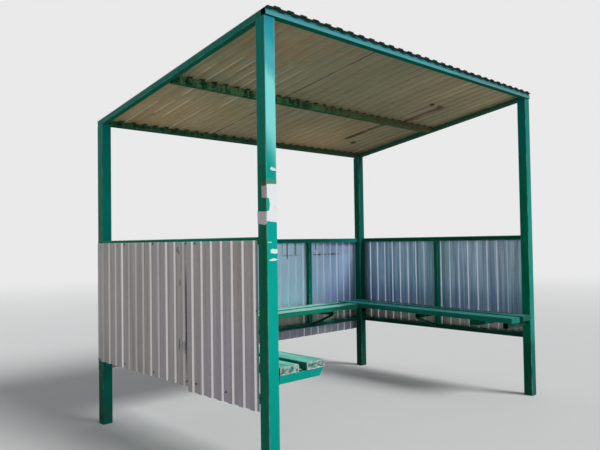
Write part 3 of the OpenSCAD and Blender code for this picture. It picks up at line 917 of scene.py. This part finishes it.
def bead(corners, seed):
    """A rippled weld bead along straight runs."""
    path = []
    for a, b in zip(corners[:-1], corners[1:]):
        a, b = Vector(a), Vector(b)
        count = max(2, int((b - a).length / BEAD_STEP))
        path += [a.lerp(b, i / count) for i in range(count)]
    path.append(Vector(corners[-1]))
    verts = []
    for i, p in enumerate(path):
        along = (path[min(i + 1, len(path) - 1)] - path[max(i - 1, 0)]).normalized()
        frame_x = along.orthogonal().normalized()
        frame_y = along.cross(frame_x)
        ripple = 0.82 + 0.18 * math.sin(i * 2.1 + seed) + 0.25 * noise.noise(p * 90 + Vector((seed, 0, 0)))
        if i in (0, len(path) - 1):
            ripple *= 0.45
        for j in range(BEAD_SIDES):
            t = 2 * math.pi * j / BEAD_SIDES
            verts.append(p + (frame_x * math.cos(t) + frame_y * math.sin(t)) * BEAD_R * ripple)
    return verts, ring_faces(len(path), BEAD_SIDES), Matrix()


def hoops(name, end_axis, open_axis, open_side):
    """A path round three sides of each end of a tube, open towards the sheet on its fourth side."""
    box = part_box(name)
    span_axis = 3 - end_axis - open_axis
    first = int(span_axis == 2)
    paths = []
    for end in (0, 1):
        path = []
        for inner, far in ((0, 0), (1, 0), (1, 1), (0, 1)):
            side = {end_axis: end, open_axis: open_side ^ inner, span_axis: first ^ far}
            path.append([box[side[n]][n] for n in range(3)])
        paths.append(path)
    return paths


def arm_loop(place, z):
    """A path round an arm's end, where place gives x and y for a step sideways."""
    half = ARM / 2
    corners = (-half, 0), (half, 0), (half, ARM), (-half, ARM), (-half, 0)
    return [(*place(aside), z + up) for aside, up in corners]


def add_welds():
    """Weld beads where rails, studs, arms and roof rails meet."""
    paths = []
    for wall, out_side in (("left_wall", 0), ("right_wall", 1)):
        for rail in ("top_rail", "lower_rail"):
            paths += hoops(f"{wall}_{rail}", 1, 0, out_side)
        paths += hoops(f"{wall}_stud", 2, 0, out_side)
    for rail in ("top_rail", "lower_rail"):
        paths += hoops(f"back_wall_{rail}", 0, 1, 1)
    for stud in ("left_stud", "right_stud"):
        paths += hoops(f"back_wall_{stud}", 2, 1, 1)
    arm_low = BENCH_TOP - PLANK_T - SEAT - ARM
    for x in (LEFT + BACK_STUD, RIGHT - BACK_STUD):
        paths.append(arm_loop(lambda aside: (x + aside, BACK - RAIL), arm_low))
    for side, drop in ((-1, PLANK_T + SEAT), (1, BENCH_DROP * (1 - SIDE_STUD / BENCH_RUN))):
        x, y = side * (RIGHT - RAIL), FRONT + SIDE_STUD
        paths.append(arm_loop(lambda aside: (x, y + aside), arm_low - drop))
    for side in (-1, 1):
        edge, inner = side * (RIGHT - 0.005), side * (RIGHT - 0.045)
        for start, face in ((0.034, POST), (ROOF_LEN - 0.004, ROOF_LEN - POST)):
            corners = (inner, start, 0), (inner, face, 0), (edge, face, 0)
            paths.append([ROOF @ Vector(c) for c in corners])
    mesh = joined("weld_beads", [bead(path, i * 1.3) for i, path in enumerate(paths)])
    new_piece("weld_beads", mesh, paint("weld_paint", 71), smooth=True)


# Torn notices on the front left post: tone, lift, and outline in metres round the post's
# corner, front face first, and in height

NOTICES = {
    "white_notice": (rgb(238, 240, 244), 0.0008, (
        (0.002, 1.666), (0.070, 1.671), (0.0755, 1.640), (0.0750, 1.560), (0.0755, 1.463), (0.001, 1.469),
        (-0.003, 1.452), (-0.012, 1.449), (-0.075, 1.457), (-0.0755, 1.523), (0.000, 1.521),
        (0.019, 1.527), (0.023, 1.560), (0.017, 1.592), (0.003, 1.594),
    )),
    "pink_notice": (rgb(232, 206, 212), 0.0008, (
        (-0.039, 1.659), (-0.001, 1.658), (0.000, 1.592), (-0.036, 1.595),
    )),
    "brown_tape": (rgb(150, 86, 44), 0.0005, (
        (-0.034, 1.675), (-0.002, 1.674), (-0.001, 1.660), (-0.035, 1.661),
    )),
    "torn_corner": (rgb(236, 246, 246), 0.0050, (
        (0.025, 1.748), (0.032, 1.761), (0.053, 1.757), (0.070, 1.749), (0.084, 1.736), (0.088, 1.728),
        (0.080, 1.727), (0.067, 1.740), (0.039, 1.741),
    )),
    "paper_sliver": (rgb(222, 240, 236), 0.0006, (
        (0.006, 1.357), (0.032, 1.3575), (0.032, 1.354), (0.006, 1.3535),
    )),
    "paper_scrap": (rgb(230, 246, 244), 0.0008, (
        (0.024, 1.315), (0.038, 1.320), (0.074, 1.317), (0.0745, 1.297), (0.056, 1.294), (0.027, 1.298),
    )),
    "paper_shred": (rgb(226, 244, 242), 0.0008, (
        (0.013, 1.262), (0.030, 1.265), (0.048, 1.271), (0.059, 1.266), (0.074, 1.265), (0.072, 1.260),
        (0.048, 1.256), (0.016, 1.257),
    )),
}
TEAR_STEP, TEAR_DEPTH = 0.004, 0.0012
PAPER_CUT, PAPER_T, PAPER_GAP = 0.003, 0.0002, 0.0004


def torn(outline, seed):
    """Roughens an outline, as paper tears."""
    points = []
    for a, b in zip(outline, outline[1:] + outline[:1]):
        a, b = Vector(a), Vector(b)
        count = max(1, int((b - a).length / TEAR_STEP))
        away = Vector((b.y - a.y, a.x - b.x)).normalized()
        for i in range(count):
            p = a.lerp(b, i / count)
            ragged = noise.noise(Vector((p.x * 400, p.y * 400, seed)))
            points.append(p + away * TEAR_DEPTH * ragged * (i > 0))
    return points


def round_post(across, z, lift):
    """A point on the front left post, from its corner along the front face, or back along the side."""
    if across >= POST_R:
        return Vector((LEFT + across, FRONT - lift, z))
    if across <= -POST_R:
        return Vector((LEFT - lift, FRONT - across, z))
    turn = math.radians(45) * (1 + across / POST_R)
    r = POST_R + lift
    return Vector((LEFT + POST_R - r * math.cos(turn), FRONT + POST_R - r * math.sin(turn), z))


def notice_mesh(name, outline, ripple, seed):
    """A torn sheet, cut into a fine grid, rippled and bent round the post."""
    bm = bmesh.new()
    bm.faces.new([bm.verts.new((p.x, 0, p.y)) for p in torn(outline, seed)])
    for n, normal in enumerate(((1, 0, 0), (0, 0, 1))):
        low, high = min(p[n] for p in outline), max(p[n] for p in outline)
        for cut in np.arange(low + 0.002, high, PAPER_CUT):
            geom = bm.verts[:] + bm.edges[:] + bm.faces[:]
            bmesh.ops.bisect_plane(bm, geom=geom, plane_co=[cut * a for a in normal], plane_no=normal)
    for v in bm.verts:
        across, z = v.co.x, v.co.z
        wave = 0.5 + 0.5 * noise.noise(Vector((across * 60, z * 40, seed)))
        lift = PAPER_GAP + ripple * wave * min(1, max(0, abs(across) - 0.004) / 0.02)
        v.co = round_post(across, z, lift)
    bmesh.ops.recalc_face_normals(bm, faces=bm.faces)
    bmesh.ops.solidify(bm, geom=bm.faces[:], thickness=PAPER_T)
    mesh = bpy.data.meshes.new(name)
    bm.to_mesh(mesh)
    bm.free()
    return mesh


def add_notices():
    for i, (name, (colour, ripple, outline)) in enumerate(NOTICES.items()):
        mesh = notice_mesh(name, outline, ripple, i + 1.5)
        new_piece(name, mesh, paper(name + "_paper", i, colour))


# Planks

# How worn each bench is; the less worn also take more painted shade on their tops
PLANK_WEAR = {"left": 1.0, "back": 0.9, "right": 0.2}
PLANK_CORNER, PLANK_RING = 0.0045, 0.02


def plank_outline(half_w, half_t, radius):
    """A board's cross section with eased corners, and how close each point is to a corner."""
    points = []
    for side in range(4):
        half, out, steps = ((half_w, half_t, 14), (half_t, half_w, 6))[side % 2]
        turn = Matrix.Rotation(math.radians(90 * side), 2)
        for t in np.linspace(-1, 1, steps + 1)[:-1]:
            run = t * (half - radius)
            points.append((turn @ Vector((run, -out)), 1.0 if abs(t) > 0.9 else 0.0))
        for share in (0.25, 0.75):
            angle = math.radians(-90 + 90 * share)
            x, y = half - radius + radius * math.cos(angle), -out + radius + radius * math.sin(angle)
            points.append((turn @ Vector((x, y)), 1.0))
    return points


def plank_mesh(name, low, high, along, seed, knocks):
    """A sawn board, slightly uneven, with knocked edges and split ends."""
    cross = [n for n in range(3) if n != along]
    size, middle = high - low, (low + high) / 2
    outline = plank_outline(size[cross[0]] / 2, size[cross[1]] / 2, PLANK_CORNER)
    rings = int(size[along] / PLANK_RING)
    verts, edges = [], []
    for i in range(rings + 1):
        for (a, b), edge in outline:
            inward = Vector((0, 0, 0))
            inward[cross[0]], inward[cross[1]] = -a, -b
            p = middle - inward
            p[along] = low[along] + size[along] * i / rings
            rough = noise.noise(p * 7 + Vector((seed, 0, 0)))
            nick = max(0.0, noise.noise(p * 28 + Vector((0, seed, 0))) - 0.3) * edge * knocks
            p += inward.normalized() * (0.0006 + 0.0006 * rough + 0.012 * nick)
            if i in (0, rings):
                ragged = noise.noise(Vector((a * 60, b * 60, seed)))
                p[along] += (0.0016 + 0.0016 * ragged) * (1 if i == 0 else -1)
            verts.append(p)
            edges.append(edge)
    count = len(outline)
    faces = ring_faces(rings + 1, count)[2:]
    caps = [0.0] * len(verts)
    for ring in (0, rings):
        base = len(verts)
        verts += [verts[ring * count + j].copy() for j in range(count)]
        edges += [0.4] * count
        caps += [1.0] * count
        faces.append(list(range(base, base + count)))
    mesh = new_mesh(name, verts, faces)
    for label, values in (("edge", edges), ("cap", caps)):
        mesh.attributes.new(label, "FLOAT", "POINT").data.foreach_set("value", values)
    return outward(mesh)


def add_planks():
    names = [name for name in sorted(NODES) if name.endswith("_plank")]
    for i, node in enumerate(names):
        bench = node.split("_")[0]
        wear = PLANK_WEAR[bench]
        low, high = (Vector(corner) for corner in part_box(node))
        along = 0 if bench == "back" else 1
        if bench == "right":
            low.y = FRONT - PLANK_OUT
            high.y = low.y + PLANK_LEN
            low.z, high.z = BENCH_TOP - PLANK_T, BENCH_TOP
        mesh = plank_mesh(node + "_wood", low, high, along, 11 * i + 3, wear)
        if bench == "right":
            mesh.transform(bench_tilt())
        material = wood(node + "_paint", i + 1, along, wear, (low, high))
        piece = new_piece(node + "_wood", mesh, material)
        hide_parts(node)


# Materials on the carried-over nodes

# How much painted shade, with some grime, darkens some nodes' paint, and what else each of the others has:
# bleaching with a painted sky glare, stains, painted shade, or the notices
SHADE_AND_GRIME = {
    "roof_back_rail": 0.5, "roof_right_rail": 0.35, "back_right_post": 0.5,
    "back_wall_top_rail": 0.5, "right_wall_top_rail": 0.65, "left_wall_lower_rail": 0.7,
    "back_wall_lower_rail": 0.9, "right_wall_lower_rail": 0.9, "back_wall_right_stud": 0.55,
    "right_wall_stud": 0.3, "left_bench_arms": 0.2, "back_bench_arms": 0.8, "right_bench_arms": 0.95,
    "bench_braces": 0.9, "left_bench_cleat": 0.75, "right_bench_cleat": 0.75,
}
WEAR = {
    "roof_front_rail": {"bleach_and_glare": 0.85},
    "roof_purlin": {"stained": 0.9},
    "roof_back_rail": {"stained": 0.7},
    "roof_right_rail": {"stained": 0.4},
    "roof_left_rail": {"stained": 0.12},
    "front_left_post": {"notices": True},
    "front_right_post": {"painted_shade": 0.35},
    "back_left_post": {"painted_shade": 0.1},
    "back_right_post": {"painted_shade": 0.6},
}


def finish_nodes():
    for i, (name, node) in enumerate(sorted(NODES.items())):
        place, kind = name.split("_")[0], name.split("_")[-1]
        if kind == "plank":
            continue
        if kind == "sheet" and place == "roof":
            material = roof_sheet(name + "_zinc", i)
        elif kind == "sheet":
            material = wall_sheet(name + "_zinc", i, place)
        else:
            tilt, box = 0.0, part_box(name)
            if place == "roof":
                tilt = SLOPE
                turn = Matrix.Rotation(SLOPE, 3, "X")
                points = np.array([turn @ v.co for v in node.data.vertices])
                box = (points.min(0), points.max(0))
            along = max(range(3), key=lambda n: box[1][n] - box[0][n])
            if kind in ("arms", "braces", "cleat"):
                box = None
            wear = {"shade_and_grime": SHADE_AND_GRIME.get(name, 0), **WEAR.get(name, {})}
            material = paint(name + "_paint", i, along, box, tilt, **wear)
        node.material_slots[0].material = material


add_camera()
add_sun(energy=2.6, azimuth=18, height=41, softness=24)
add_world(fill=0.28)
add_floor(radius=60, fade_from=4, fade_to=22)
finish_nodes()
add_planks()
add_sheet_screws()
add_bench_screws()
add_welds()
add_notices()
